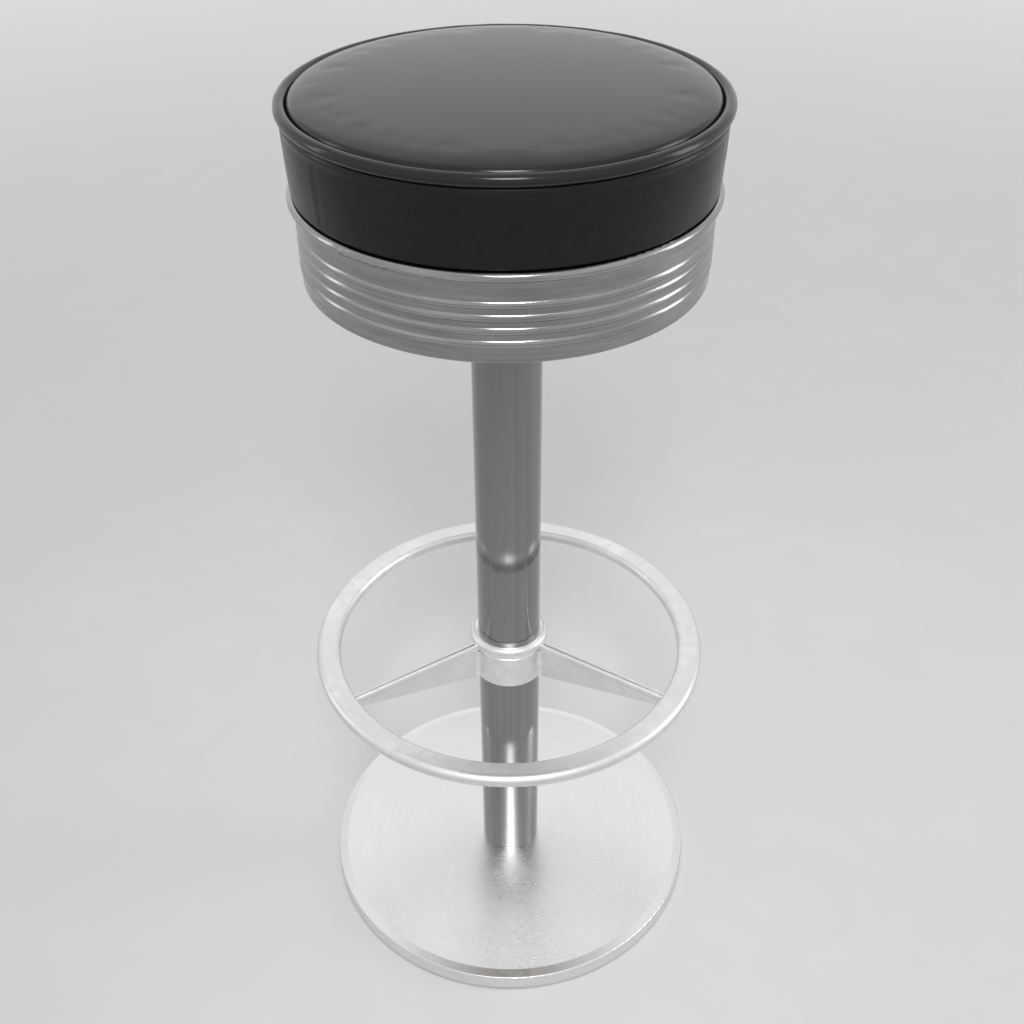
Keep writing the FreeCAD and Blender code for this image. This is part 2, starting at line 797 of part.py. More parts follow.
def tee_nuts():
    body = new_body("tee_nuts", BOARD_TOP)
    thread = "plate_bolt_radius + close_fit"
    nut = turned(body, [
        (thread, "-tee_barrel_length"),
        (TEE_RADIUS, "-tee_barrel_length"),
        (TEE_RADIUS, "-tee_flange_height"),
        ("tee_flange_radius", "-tee_flange_height"),
        ("tee_flange_radius", "0"),
        (thread, "0"),
    ], "nut", at=bolt_place())
    repeated(body, [nut], "plate_bolt_count")


def seat_board():
    body = new_body("seat_board", BOARD_UNDERSIDE, "band_joint_turn")
    turned(body, ring_corners("0", BOARD_RADIUS, "0", "board_thickness"))
    bolt_hole = turned(body, [
        ("0", "0"),
        (f"{TEE_RADIUS} + close_fit", "0"),
        (f"{TEE_RADIUS} + close_fit", "board_thickness - tee_flange_height"),
        ("tee_flange_radius + loose_fit", "board_thickness - tee_flange_height"),
        ("tee_flange_radius + loose_fit", "board_thickness"),
        ("0", "board_thickness"),
    ], "bolt_hole", at=bolt_place(), cut=True)
    repeated(body, [bolt_hole], "plate_bolt_count")
    depth = "band_screw_length - band_wall - cover_skin + loose_fit"
    band_screw_holes(body, "0", depth)


# Seat band: rolled sheet with outward ribs and a curled bead


def band_screw_place():
    """The first band screw, a quarter turn from the band's joint."""
    return ("0", "0", f"-{BAND_SCREW_CIRCLE}")


def band_screw_holes(body, low, high):
    """Cuts the upright holes of the screws that hold the band to the board."""
    corners = ring_corners("0", "band_screw_radius + close_fit", low, high)
    hole = turned(body, corners, "band_hole", at=band_screw_place(), cut=True)
    repeated(body, [hole], "band_screw_count")


def rib_corners():
    """The outward ribs of the band, from the lowest up."""
    bulge = "(rib_width^2 / 4 + rib_depth^2) / (2 * rib_depth)"
    corners = []
    for number in range(int(value("rib_count"))):
        middle = f"rib_first + {number} * rib_pitch"
        corners.append(("band_radius", f"{middle} - rib_width / 2", bulge, 1))
        corners.append(("band_radius", f"{middle} + rib_width / 2"))
    return corners


def seat_band():
    body = new_body("seat_band", BAND_UNDERSIDE, "band_joint_turn")
    lip = "band_radius - band_lip_width"
    curl = f"({BAND_BORE} + band_bead_radius)"
    curl_level = "(band_height - band_bead_radius)"
    hollow = "(band_bead_radius - band_wall)"
    band = turned(body, [
        (lip, "0"),
        ("band_radius - band_edge_round", "0", "band_edge_round", 1),
        ("band_radius", "band_edge_round"),
        *rib_corners(),
        ("band_radius", curl_level, hollow, -1),
        (curl, f"{curl_level} + {hollow}", hollow, -1),
        (f"{curl} + {hollow}", curl_level, hollow, -1),
        (curl, f"{curl_level} - {hollow}"),
        (curl, f"{curl_level} - band_bead_radius", "band_bead_radius", 1),
        (f"{curl} + band_bead_radius", curl_level, "band_bead_radius", 1),
        (curl, "band_height", "band_bead_radius", 1),
        (BAND_BORE, curl_level),
        (BAND_BORE, "band_wall"),
        (lip, "band_wall"),
    ])
    bind(band, "Angle", "360 - 180 / pi * band_joint / band_radius")
    doc.recompute()
    band_screw_holes(body, "0", "band_wall")


def band_screws():
    body = new_body("band_screws", BAND_UNDERSIDE, "band_joint_turn")
    screw = turned(body, [
        ("0", "-band_screw_head_height"),
        ("band_screw_head_radius / 2", "-band_screw_head_height"),
        ("band_screw_head_radius", "0"),
        ("band_screw_radius", "0"),
        ("band_screw_radius", "band_screw_length"),
        ("0", "band_screw_length"),
    ], "screw", at=band_screw_place())
    repeated(body, [screw], "band_screw_count")


# Cushion


def crown_line(inset):
    """The top panel from its skirt to the axis, inset evenly into the cushion."""
    shrink = f"(shoulder_round - {inset}) / shoulder_round"
    shoulder_foot = f"({WELT_LEVEL} + shoulder_lift)"
    shoulder_top = f"({CROWN_TOP} - crown_rise)"
    flat_arc = f"({CROWN_RADIUS}^2 + crown_rise^2) / (2 * crown_rise)"
    return [
        (f"{SKIRT_RADIUS} - {inset}", shoulder_foot, f"shoulder_round - {inset}", 1),
        (f"{SKIRT_RADIUS} - {inset} - shoulder_round_width * {shrink}",
         f"{shoulder_foot} + shoulder_round_height * {shrink}", f"shoulder_bulge - {inset}", 1),
        (CROWN_RADIUS, f"{shoulder_top} - {inset}", flat_arc, 1),
        ("0", f"{CROWN_TOP} - {inset}"),
    ]


def backwards(corners):
    """The same open line from its end to its start."""
    turned_round = []
    for corner, before in zip(reversed(corners), [*reversed(corners[:-1]), ()]):
        turned_round.append((*corner[:2], before[2], -before[3]) if len(before) > 2 else corner[:2])
    return turned_round


def seat_foam():
    body = new_body("seat_foam")
    inset = "(cover_skin + loose_fit)"
    shelf = f"{CUSHION_LEDGE} + {inset}"
    side_top = f"{SIDE_TOP} - seam_gap"
    turned(body, [
        ("0", BOARD_TOP),
        (f"{COVER_INSIDE} - {inset}", BOARD_TOP),
        (f"{COVER_INSIDE} - {inset}", shelf),
        (f"{CUSHION_FOOT} - {inset}", shelf),
        (f"{CUSHION_HEAD} - {inset}", side_top),
        (f"{SKIRT_RADIUS} - {inset}", side_top),
        *crown_line(inset),
    ])


def side_cover():
    """The side of the cushion: drawn in above the band, and folded under the board."""
    body = new_body("side_cover", turn="band_joint_turn")
    flap = f"{COVER_INSIDE} - flap_width"
    turned(body, [
        (flap, FLAP_UNDERSIDE),
        (COVER_INSIDE, FLAP_UNDERSIDE),
        (COVER_INSIDE, CUSHION_LEDGE),
        (f"{CUSHION_FOOT} - cushion_fold", CUSHION_LEDGE, "cushion_fold", 1),
        (CUSHION_FOOT, f"{CUSHION_LEDGE} + cushion_fold"),
        (CUSHION_HEAD, SIDE_TOP),
        (f"{CUSHION_HEAD} - cover_skin", SIDE_TOP),
        (f"{CUSHION_FOOT} - cover_skin", f"{CUSHION_LEDGE} + cover_skin"),
        (f"{COVER_INSIDE} - cover_skin", f"{CUSHION_LEDGE} + cover_skin"),
        (f"{COVER_INSIDE} - cover_skin", BOARD_UNDERSIDE),
        (flap, BOARD_UNDERSIDE),
    ])
    band_screw_holes(body, FLAP_UNDERSIDE, BOARD_UNDERSIDE)


def cover_staples():
    body = new_body("cover_staples", FLAP_UNDERSIDE)
    half = "staple_width / 2"
    inside = f"({half} - staple_wire)"
    staple = padded(body, "YZ_Plane", [
        (f"-{half}", "-staple_wire"),
        (half, "-staple_wire"),
        (half, "staple_leg"),
        (inside, "staple_leg"),
        (inside, "0"),
        (f"-{inside}", "0"),
        (f"-{inside}", "staple_leg"),
        (f"-{half}", "staple_leg"),
    ], "staple_wire", "staple", at=("0", "0", STAPLE_CIRCLE), both_ways=True)
    repeated(body, [staple], "staple_count")


def top_cover():
    body = new_body("top_cover")
    skirt_foot = f"{WELT_LEVEL} - panel_skirt"
    turned(body, [
        (f"{SKIRT_RADIUS} - cover_skin", skirt_foot),
        (SKIRT_RADIUS, skirt_foot),
        *crown_line("0"),
        *backwards(crown_line("cover_skin")),
    ])


def welt():
    body = new_body("welt", WELT_LEVEL)
    turned(body, circle_corners(WELT_CIRCLE, "0", "welt_radius"))


# Build, check and save


def check_document():
    """Stops if any object failed or any sub-part is empty or broken."""
    doc.recompute()
    for thing in doc.Objects:
        if "Invalid" in thing.State or "Error" in thing.State:
            raise RuntimeError(f"{thing.Name} failed: {thing.State}")
    for body in doc.findObjects("PartDesign::Body"):
        if body.Shape.isNull() or not body.Shape.isValid():
            raise RuntimeError(f"{body.Label} has no valid shape")


def save_parts():
    """Writes each sub-part to its own file and prints its solids and volume."""
    os.makedirs("parts", exist_ok=True)
    for body in doc.findObjects("PartDesign::Body"):
        body.Shape.exportStep(f"parts/{body.Label}.step")
        print(f"{body.Label}: {len(body.Shape.Solids)} solids, {body.Shape.Volume / 1000:.2f} cm3")


for make in (
    floor_ring, base_weight, base_cover, foot_screws, foot_plug, column_tube,
    footring, footring_set_screws,
    bearing_housing, housing_screws, upper_bush, lower_bush, lower_race,
    bearing_balls, ball_cage, upper_race, bearing_cover,
    swivel_spindle, spindle_washer, spindle_clip,
    seat_plate, plate_bolts, tee_nuts, seat_board, seat_band, band_screws,
    seat_foam, side_cover, cover_staples, top_cover, welt,
):
    make()
check_document()
save_parts()
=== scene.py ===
# %% [markdown]
# # A diner counter stool
#
# The stool has a weighted disc base, a polished column, a cast footring and a round black
# cushion in a ribbed aluminium band. The hard pieces come from the CAD frame, and this lesson
# gives them their metal finishes. The cushion is soft, so it is modelled here: a foam block,
# a top panel, a side panel and the welt, the piped cord between the two panels.
#
# The frame is loaded first. Its pieces stay where the CAD puts them.

import json
import math

import bmesh
import bpy
from mathutils import Matrix, Vector, noise


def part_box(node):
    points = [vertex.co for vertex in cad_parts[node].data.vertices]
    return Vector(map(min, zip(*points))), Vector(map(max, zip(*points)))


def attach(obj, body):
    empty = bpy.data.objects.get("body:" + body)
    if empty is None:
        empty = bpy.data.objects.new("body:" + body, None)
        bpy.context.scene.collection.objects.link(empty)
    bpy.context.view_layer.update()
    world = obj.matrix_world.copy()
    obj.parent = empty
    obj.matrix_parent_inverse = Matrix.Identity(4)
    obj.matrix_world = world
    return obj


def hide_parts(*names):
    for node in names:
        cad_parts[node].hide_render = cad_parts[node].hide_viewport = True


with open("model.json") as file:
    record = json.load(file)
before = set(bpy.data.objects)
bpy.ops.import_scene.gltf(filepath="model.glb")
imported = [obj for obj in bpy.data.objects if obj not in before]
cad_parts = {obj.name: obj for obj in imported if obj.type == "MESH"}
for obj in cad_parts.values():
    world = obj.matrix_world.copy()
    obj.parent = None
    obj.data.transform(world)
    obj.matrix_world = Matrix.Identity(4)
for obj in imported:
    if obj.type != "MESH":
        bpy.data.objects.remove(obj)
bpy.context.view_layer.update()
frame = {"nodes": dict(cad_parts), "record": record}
nodes = frame["nodes"]

# %% [markdown]
# ## The camera
#
# The camera stands close to the stool, above the seat, and looks down. It is placed by its
# position, its pitch below the horizon and its small roll. The lens follows from how large the
# circles of the base and the seat look against each other: a short distance makes the seat
# look much larger than the base.

# %% Camera
CAMERA_PLACE = (0.0036, -0.9155, 1.1394)
CAMERA_PITCH = 36.69
CAMERA_ROLL = -0.32
LENS = 44.07

camera_data = bpy.data.cameras.new("camera")
camera_data.lens = LENS
camera_data.sensor_width = 36
camera = bpy.data.objects.new("camera", camera_data)
bpy.context.scene.collection.objects.link(camera)
tilt = Matrix.Rotation(math.radians(90 - CAMERA_PITCH), 4, "X")
roll = Matrix.Rotation(math.radians(CAMERA_ROLL), 4, "Z")
camera.matrix_world = Matrix.Translation(CAMERA_PLACE) @ tilt @ roll
bpy.context.scene.camera = camera
print("Camera looks down by", CAMERA_PITCH, "degrees")

# %% [markdown]
# ## Floor and light
#
# Metal shows what stands around it more than it shows itself, so the studio matters as much as
# the finish. The floor is plain and pale, and every lamp is a large soft panel. Seen from the
# camera, the cushion's top mirrors what stands low behind the stool, so a wide panel stands
# there. The base mirrors what hangs high behind it, so a broad panel hangs there too. A small
# one in front brightens the near side of the base. The column and the band mirror the floor,
# and two upright panels draw their bright sides. A panel's power is its glow times pi times
# its area.


# %% Floor
def joined_mesh(name, bm):
    """Makes an object with smooth faces from a bmesh, and frees the bmesh."""
    mesh = bpy.data.meshes.new(name)
    for face in bm.faces:
        face.smooth = True
    bm.to_mesh(mesh)
    bm.free()
    piece = bpy.data.objects.new(name, mesh)
    bpy.context.scene.collection.objects.link(piece)
    return piece


FLOOR_RADIUS = 9.0
BACKGROUND = (0.80, 0.80, 0.79, 1)

bm = bmesh.new()
bmesh.ops.create_circle(bm, cap_ends=True, segments=96, radius=FLOOR_RADIUS)
floor = joined_mesh("floor", bm)
print("Floor radius", FLOOR_RADIUS, "m")


# %% Lamps
def soft_lamp(name, place, target, size, glow, beam=180):
    """A lamp panel at place that faces target. Glow is its brightness, where 1 is white."""
    data = bpy.data.lights.new(name, "AREA")
    data.shape = "RECTANGLE"
    data.size, data.size_y = size
    data.energy = glow * math.pi * size[0] * size[1]
    data.spread = math.radians(beam)
    lamp = bpy.data.objects.new(name, data)
    bpy.context.scene.collection.objects.link(lamp)
    facing = (Vector(target) - Vector(place)).to_track_quat("-Z", "Y")
    lamp.matrix_world = Matrix.Translation(place) @ facing.to_matrix().to_4x4()
    lamp.visible_camera = False
    return lamp


SEAT_CENTRE = (0, 0, 0.8)
BASE_CENTRE = (0, 0, 0.02)

soft_lamp("back_panel", (0, 5.5, 2.5), SEAT_CENTRE, (9.0, 3.4), 0.20)
soft_lamp("high_panel", (0, 0.95, 2.5), BASE_CENTRE, (2.6, 2.3), 0.24)
soft_lamp("front_panel", (0.05, -1.75, 2.45), BASE_CENTRE, (0.6, 0.8), 1.3, beam=50)
soft_lamp("right_panel", (2.0, 0.1, 1.2), SEAT_CENTRE, (0.6, 1.5), 2.9)
soft_lamp("left_panel", (-2.1, 0.3, 1.2), SEAT_CENTRE, (0.3, 1.4), 1.9)

bpy.context.scene.view_settings.view_transform = "Standard"

# %% [markdown]
# ## Shader groups
#
# Small helpers keep the node code short: `add` makes a node, sets its fields and links or
# fills its inputs, and `new_group` makes a group with its sockets. Several finishes share an
# effect, such as the fine lines that a lathe leaves. Each effect is a node group that is built
# once, with named inputs, and placed in each material with its own values.


# %% Node helpers
def find_input(node, name):
    """An input of a node, by its number as in n0, or by its name with _ for a space."""
    if name[0] == "n" and name[1:].isdigit():
        return node.inputs[int(name[1:])]
    return node.inputs[name.replace("_", " ")]


def fill(tree, socket, value):
    """Links a socket to an output socket, or sets it to any other value."""
    if isinstance(value, bpy.types.NodeSocket):
        tree.links.new(value, socket)
    else:
        socket.default_value = value


def add(tree, kind, fields=None, **inputs):
    """Adds a node, sets its fields, and links or fills its inputs."""
    node = tree.nodes.new("ShaderNode" + kind)
    for field, value in (fields or {}).items():
        setattr(node, field, value)
    for name, value in inputs.items():
        fill(tree, find_input(node, name), value)
    return node


def maths(tree, operation, first, second=0.0):
    """The result of a Math node."""
    return add(tree, "Math", {"operation": operation}, n0=first, n1=second).outputs[0]


def blended(tree, amount, first, second):
    """A colour between two colours."""
    node = add(tree, "Mix", {"data_type": "RGBA"})
    for number, value in ((0, amount), (6, first), (7, second)):
        fill(tree, node.inputs[number], value)
    return node.outputs[2]


def spread(tree, value, low, high, to_low, to_high):
    """Value moved from one range to another, and kept inside it."""
    node = add(tree, "MapRange", {}, Value=value)
    for name, number in zip(("From Min", "From Max", "To Min", "To Max"), (low, high, to_low, to_high)):
        node.inputs[name].default_value = number
    return node.outputs[0]


def new_group(name, inputs, outputs):
    """A shader node group: inputs are {name: default number}, outputs are {name: socket kind}."""
    group = bpy.data.node_groups.new(name, "ShaderNodeTree")
    for label, default in inputs.items():
        socket = group.interface.new_socket(label, in_out="INPUT", socket_type="NodeSocketFloat")
        socket.default_value = default
    for label, kind in outputs.items():
        group.interface.new_socket(label, in_out="OUTPUT", socket_type="NodeSocket" + kind)
    return group, group.nodes.new("NodeGroupInput").outputs, group.nodes.new("NodeGroupOutput").inputs


def place_group(tree, group, **inputs):
    """Places a group in a tree, with some of its inputs set or linked."""
    node = tree.nodes.new("ShaderNodeGroup")
    node.node_tree = group
    for name, value in inputs.items():
        fill(tree, find_input(node, name), value)
    return node.outputs


# %% [markdown]
# ### Sky
#
# The sky is weak where it lights the stool, and as pale as the background where a camera, a
# mirror or a glass sees it. The floor fades into that background too, so both use one mask.


# %% Sky
SKY_LIGHT = 0.48


def seen_rays(tree):
    """1 for a ray of the camera, a mirror or a glass, and 0 for a ray that only lights."""
    rays = add(tree, "LightPath").outputs
    seen = maths(tree, "MAXIMUM", rays["Is Camera Ray"], rays["Is Glossy Ray"])
    return maths(tree, "MAXIMUM", seen, rays["Is Transmission Ray"])


def make_sky():
    world = bpy.data.worlds.new("sky")
    bpy.context.scene.world = world
    world.use_nodes = True
    tree = world.node_tree
    tree.nodes.clear()
    lighting = add(tree, "Background", {}, Color=(1, 1, 1, 1), Strength=SKY_LIGHT)
    shown = add(tree, "Background", {}, Color=BACKGROUND, Strength=1.0)
    sky = add(
        tree, "MixShader", {},
        Fac=seen_rays(tree), n1=lighting.outputs[0], n2=shown.outputs[0],
    )
    add(tree, "OutputWorld", {}, Surface=sky.outputs[0])


make_sky()
print("Sky lights with", SKY_LIGHT)

# %% [markdown]
# ### Round the axis
#
# Nearly every piece of the stool is turned, so its patterns follow circles round the column.
# This group splits a point into its direction from the axis, its distance from it and its
# height. The direction is a point on a unit circle and not an angle, because an angle jumps
# from 360 to 0 degrees and a pattern on it would show a seam there.

# %% Group: round the axis
round_the_axis, _, given = new_group(
    "round_the_axis", {}, {"Direction": "Vector", "Distance": "Float", "Height": "Float"},
)
point = add(round_the_axis, "TexCoord").outputs["Object"]
split = add(round_the_axis, "SeparateXYZ", {}, Vector=point)
level_point = add(round_the_axis, "CombineXYZ", {}, X=split.outputs["X"], Y=split.outputs["Y"])
unit = add(round_the_axis, "VectorMath", {"operation": "NORMALIZE"}, n0=level_point.outputs[0])
reach = add(round_the_axis, "VectorMath", {"operation": "LENGTH"}, n0=level_point.outputs[0])
round_the_axis.links.new(unit.outputs["Vector"], given["Direction"])
round_the_axis.links.new(reach.outputs["Value"], given["Distance"])
round_the_axis.links.new(split.outputs["Z"], given["Height"])
print("Group", round_the_axis.name)

# %% [markdown]
# ### Turning lines
#
# A lathe tool or an emery cloth held against a turning disc leaves fine lines that run round
# it. On a flat face they lie side by side outwards, and on a wall they lie one above the
# other. Noise is read at a point that moves slowly round the circle and fast across the
# lines. Distance and height are added for the fast direction, so that one rule serves both
# faces. `Fine` is for the bump and `Broad` for slow changes of tone.

# %% Group: turning lines
turning_lines, asked, given = new_group(
    "turning_lines",
    {"Lines Per Metre": 2500.0, "Length Of Lines": 3.0},
    {"Fine": "Float", "Broad": "Float"},
)
place = place_group(turning_lines, round_the_axis)
across = maths(turning_lines, "ADD", place["Distance"], place["Height"])
for output_name, coarseness in (("Fine", 1.0), ("Broad", 0.12)):
    lines = maths(turning_lines, "MULTIPLY", asked["Lines Per Metre"], coarseness)
    step = maths(turning_lines, "MULTIPLY", across, lines)
    offset = add(turning_lines, "CombineXYZ", {}, Z=step)
    along = add(
        turning_lines, "VectorMath", {"operation": "SCALE"},
        n0=place["Direction"], Scale=asked["Length Of Lines"],
    )
    spot = add(
        turning_lines, "VectorMath", {"operation": "ADD"},
        n0=along.outputs[0], n1=offset.outputs[0],
    )
    streaks = add(
        turning_lines, "TexNoise", {},
        Vector=spot.outputs[0], Scale=1.0, Detail=3.0, Roughness=0.6,
    )
    turning_lines.links.new(streaks.outputs["Fac"], given[output_name])
print("Group", turning_lines.name)

# %% [markdown]
# ### Drawing lines
#
# A tube is polished along its length, and its faint lines run up and down. The same noise is
# stretched the other way: fast round the circle, slow in height.

# %% Group: drawing lines
drawing_lines, asked, given = new_group(
    "drawing_lines", {"Lines Round": 90.0, "Lines Up": 2.0}, {"Fine": "Float", "Broad": "Float"},
)
place = place_group(drawing_lines, round_the_axis)
for output_name, coarseness in (("Fine", 1.0), ("Broad", 0.1)):
    lines = maths(drawing_lines, "MULTIPLY", asked["Lines Round"], coarseness)
    around = add(
        drawing_lines, "VectorMath", {"operation": "SCALE"},
        n0=place["Direction"], Scale=lines,
    )
    step = maths(drawing_lines, "MULTIPLY", place["Height"], asked["Lines Up"])
    offset = add(drawing_lines, "CombineXYZ", {}, Z=step)
    spot = add(
        drawing_lines, "VectorMath", {"operation": "ADD"},
        n0=around.outputs[0], n1=offset.outputs[0],
    )
    streaks = add(drawing_lines, "TexNoise", {}, Vector=spot.outputs[0], Scale=1.0, Detail=2.0)
    drawing_lines.links.new(streaks.outputs["Fac"], given[output_name])
print("Group", drawing_lines.name)

# %% [markdown]
# ### Handling marks
#
# Hands, shoes and a cleaning cloth leave soft patches that are a little duller than the rest.
# Two noises of different size are multiplied, so that the patches are uneven and gather in
# places.

# %% Group: handling marks
handling_marks, asked, given = new_group(
    "handling_marks", {"Patches Per Metre": 14.0}, {"Marks": "Float"},
)
point = add(handling_marks, "TexCoord").outputs["Object"]
large = add(handling_marks, "TexNoise", {}, Vector=point, Scale=asked["Patches Per Metre"], Detail=2.0)
smaller = maths(handling_marks, "MULTIPLY", asked["Patches Per Metre"], 5.3)
small = add(handling_marks, "TexNoise", {}, Vector=point, Scale=smaller, Detail=4.0, Distortion=0.8)
both = maths(handling_marks, "MULTIPLY", large.outputs["Fac"], small.outputs["Fac"])
marks = spread(handling_marks, both, 0.2, 0.38, 0.0, 1.0)
handling_marks.links.new(marks, given["Marks"])
print("Group", handling_marks.name)

# %% [markdown]
# ### Grain
#
# Vinyl is pressed with a fine leather grain, sand leaves its pebbled skin on a casting, and
# foam and rubber are full of small cells. All are close-packed rounded cells, so one group
# serves them: a Voronoi texture gives the cells, and noise makes them uneven.

# %% Group: grain
cell_grain, asked, given = new_group(
    "cell_grain", {"Cells Per Metre": 900.0, "Unevenness": 0.4}, {"Height": "Float", "Patches": "Float"},
)
point = add(cell_grain, "TexCoord").outputs["Object"]
cells = add(
    cell_grain, "TexVoronoi", {"feature": "SMOOTH_F1"},
    Vector=point, Scale=asked["Cells Per Metre"], Smoothness=0.6,
)
slower = maths(cell_grain, "MULTIPLY", asked["Cells Per Metre"], 0.07)
patches = add(cell_grain, "TexNoise", {}, Vector=point, Scale=slower, Detail=3.0)
uneven = maths(cell_grain, "MULTIPLY", patches.outputs["Fac"], asked["Unevenness"])
height = maths(cell_grain, "ADD", cells.outputs["Distance"], uneven)
cell_grain.links.new(height, given["Height"])
cell_grain.links.new(patches.outputs["Fac"], given["Patches"])
print("Group", cell_grain.name)

# %% [markdown]
# ## Materials
#
# Each finish is a Principled shader. A number that is the same all over is set on the
# shader's own socket, and only what changes over the surface comes through nodes. The plain
# materials that came with the frame are thrown away first, so that their names are free.

# %% Clear the plain materials
for node in nodes.values():
    node.data.materials.clear()
for plain in list(bpy.data.materials):
    bpy.data.materials.remove(plain)


# %% Material helper
def new_material(name):
    """A material with an empty Principled shader, and that shader."""
    material = bpy.data.materials.new(name)
    material.use_nodes = True
    tree = material.node_tree
    tree.nodes.clear()
    shader = add(tree, "BsdfPrincipled")
    result = tree.nodes.new("ShaderNodeOutputMaterial")
    tree.links.new(shader.outputs[0], result.inputs["Surface"])
    return material, tree, shader


def bumped(tree, shader, height, depth, strength=1.0):
    """Feeds a height through a Bump node to the shader's normal. Depth is in metres."""
    bump = add(tree, "Bump", {}, Height=height, Distance=depth, Strength=strength)
    tree.links.new(bump.outputs["Normal"], shader.inputs["Normal"])


def grey(level, blue=0.0):
    """A grey as a colour, a little bluer where blue is above 0."""
    return (level, level, level + blue, 1)


# %% [markdown]
# ### Turned aluminium
#
# The base and the seat band are turned in aluminium and brushed as they turn. Brushing round
# the axis spreads a highlight outwards, across the lines, which gives the bright streak on
# the base. The Anisotropic socket does that, with a Tangent node that runs round Z. The base
# is left satin, and the band is rubbed finer, so it mirrors more. The band's tone is set
# darker than bare aluminium, to come closer to how dark it looks in the photograph, so its
# colour holds a painted dark reflection. Under other light it is therefore darker than real
# metal. One function makes both.


# %% Materials: turned aluminium
def make_turned_aluminium(name, dark, light, smooth, rough, lines_per_metre, depth):
    """Aluminium brushed round its axis, between two tones and two roughnesses."""
    material, tree, shader = new_material(name)
    lines = place_group(tree, turning_lines, Lines_Per_Metre=lines_per_metre, Length_Of_Lines=2.5)
    marks = place_group(tree, handling_marks, Patches_Per_Metre=11.0)
    both = maths(tree, "MULTIPLY", maths(tree, "ADD", lines["Fine"], lines["Broad"]), 0.5)
    tone = blended(tree, spread(tree, both, 0.35, 0.65, 0.0, 1.0), dark, light)
    tree.links.new(tone, shader.inputs["Base Color"])
    dull = maths(tree, "MULTIPLY", marks["Marks"], 0.03)
    lined = maths(tree, "ADD", spread(tree, lines["Fine"], 0.3, 0.7, smooth, rough), dull)
    tree.links.new(lined, shader.inputs["Roughness"])
    shader.inputs["Metallic"].default_value = 1.0
    shader.inputs["Anisotropic"].default_value = 0.65
    tangent = add(tree, "Tangent", {"direction_type": "RADIAL", "axis": "Z"})
    tree.links.new(tangent.outputs[0], shader.inputs["Tangent"])
    bumped(tree, shader, lines["Fine"], depth)
    return material


satin_aluminium = make_turned_aluminium(
    "satin_aluminium", dark=grey(0.77, 0.004), light=grey(0.80, 0.004),
    smooth=0.25, rough=0.27, lines_per_metre=700.0, depth=0.0000004,
)
# Painted dark reflection: the band's tones, 0.26 to 0.40, lie far below bare aluminium.
band_aluminium = make_turned_aluminium(
    "band_aluminium", dark=grey(0.26, 0.008), light=grey(0.40, 0.008),
    smooth=0.13, rough=0.19, lines_per_metre=1100.0, depth=0.000002,
)
print("Materials", satin_aluminium.name, band_aluminium.name)

# %% [markdown]
# ### Cast aluminium
#
# The footring is sand-cast and only lightly smoothed, so it is matte with a fine pebbled
# skin. Shoes polish it in places. The marks group makes those places smoother and brighter.


# %% Material: cast aluminium
def make_cast_aluminium():
    material, tree, shader = new_material("cast_aluminium")
    grain = place_group(tree, cell_grain, Cells_Per_Metre=1300.0, Unevenness=0.9)
    worn = place_group(tree, handling_marks, Patches_Per_Metre=16.0)
    tone = blended(tree, grain["Patches"], grey(0.72, 0.004), grey(0.80, 0.006))
    tree.links.new(blended(tree, worn["Marks"], tone, grey(0.84)), shader.inputs["Base Color"])
    rough = spread(tree, worn["Marks"], 0.0, 1.0, 0.40, 0.36)
    tree.links.new(rough, shader.inputs["Roughness"])
    shader.inputs["Metallic"].default_value = 1.0
    bumped(tree, shader, grain["Height"], 0.00012, 0.6)
    return material


cast_aluminium = make_cast_aluminium()
print("Material", cast_aluminium.name)

# %% [markdown]
# ### Polished column
#
# The column is polished until it mirrors the floor and the base, with faint lines along it.
# The lines change its roughness and bend the mirror a little. Its tone is set darker than
# bare metal for the same reason as the band's, and with the same drawback: its colour holds
# a painted dark reflection.


# %% Material: polished column
def make_polished_column():
    material, tree, shader = new_material("polished_column")
    lines = place_group(tree, drawing_lines, Lines_Round=70.0, Lines_Up=1.5)
    marks = place_group(tree, handling_marks, Patches_Per_Metre=13.0)
    # Painted dark reflection: the tones, 0.21 to 0.30, lie far below bare metal; only their spread along
    # the lines is the metal's own.
    tone = blended(tree, lines["Broad"], grey(0.21, 0.010), grey(0.30, 0.010))
    tree.links.new(tone, shader.inputs["Base Color"])
    haze = maths(tree, "MULTIPLY", marks["Marks"], 0.03)
    rough = maths(tree, "ADD", spread(tree, lines["Fine"], 0.3, 0.7, 0.05, 0.09), haze)
    tree.links.new(rough, shader.inputs["Roughness"])
    shader.inputs["Metallic"].default_value = 1.0
    bumped(tree, shader, lines["Fine"], 0.00001)
    return material


polished_column = make_polished_column()
print("Material", polished_column.name)

# %% [markdown]
# ### Black vinyl
#
# The cushion is covered in glossy black vinyl with a very fine grain. It is drawn tight, so
# it mirrors the room softly. Wiping leaves it a little duller in places. Vinyl has an index
# of refraction of about 1.5. It is set lower here, most of all for the side, only to weaken
# the mirrored floor and keep the vinyl dark. That number isn't measured from the material.


# %% Materials: black vinyl
def make_black_vinyl(name, smooth, rough, mirror):
    """Grained black vinyl between two roughnesses. Mirror is its index of refraction."""
    material, tree, shader = new_material(name)
    grain = place_group(tree, cell_grain, Cells_Per_Metre=1500.0, Unevenness=0.2)
    marks = place_group(tree, handling_marks, Patches_Per_Metre=9.0)
    tone = blended(tree, grain["Patches"], (0.008, 0.008, 0.010, 1), (0.014, 0.014, 0.017, 1))
    tree.links.new(tone, shader.inputs["Base Color"])
    dull = maths(tree, "MULTIPLY", marks["Marks"], 0.03)
    rough = maths(tree, "ADD", spread(tree, grain["Patches"], 0.35, 0.65, smooth, rough), dull)
    tree.links.new(rough, shader.inputs["Roughness"])
    shader.inputs["IOR"].default_value = mirror
    bumped(tree, shader, grain["Height"], 0.00003, 0.25)
    return material


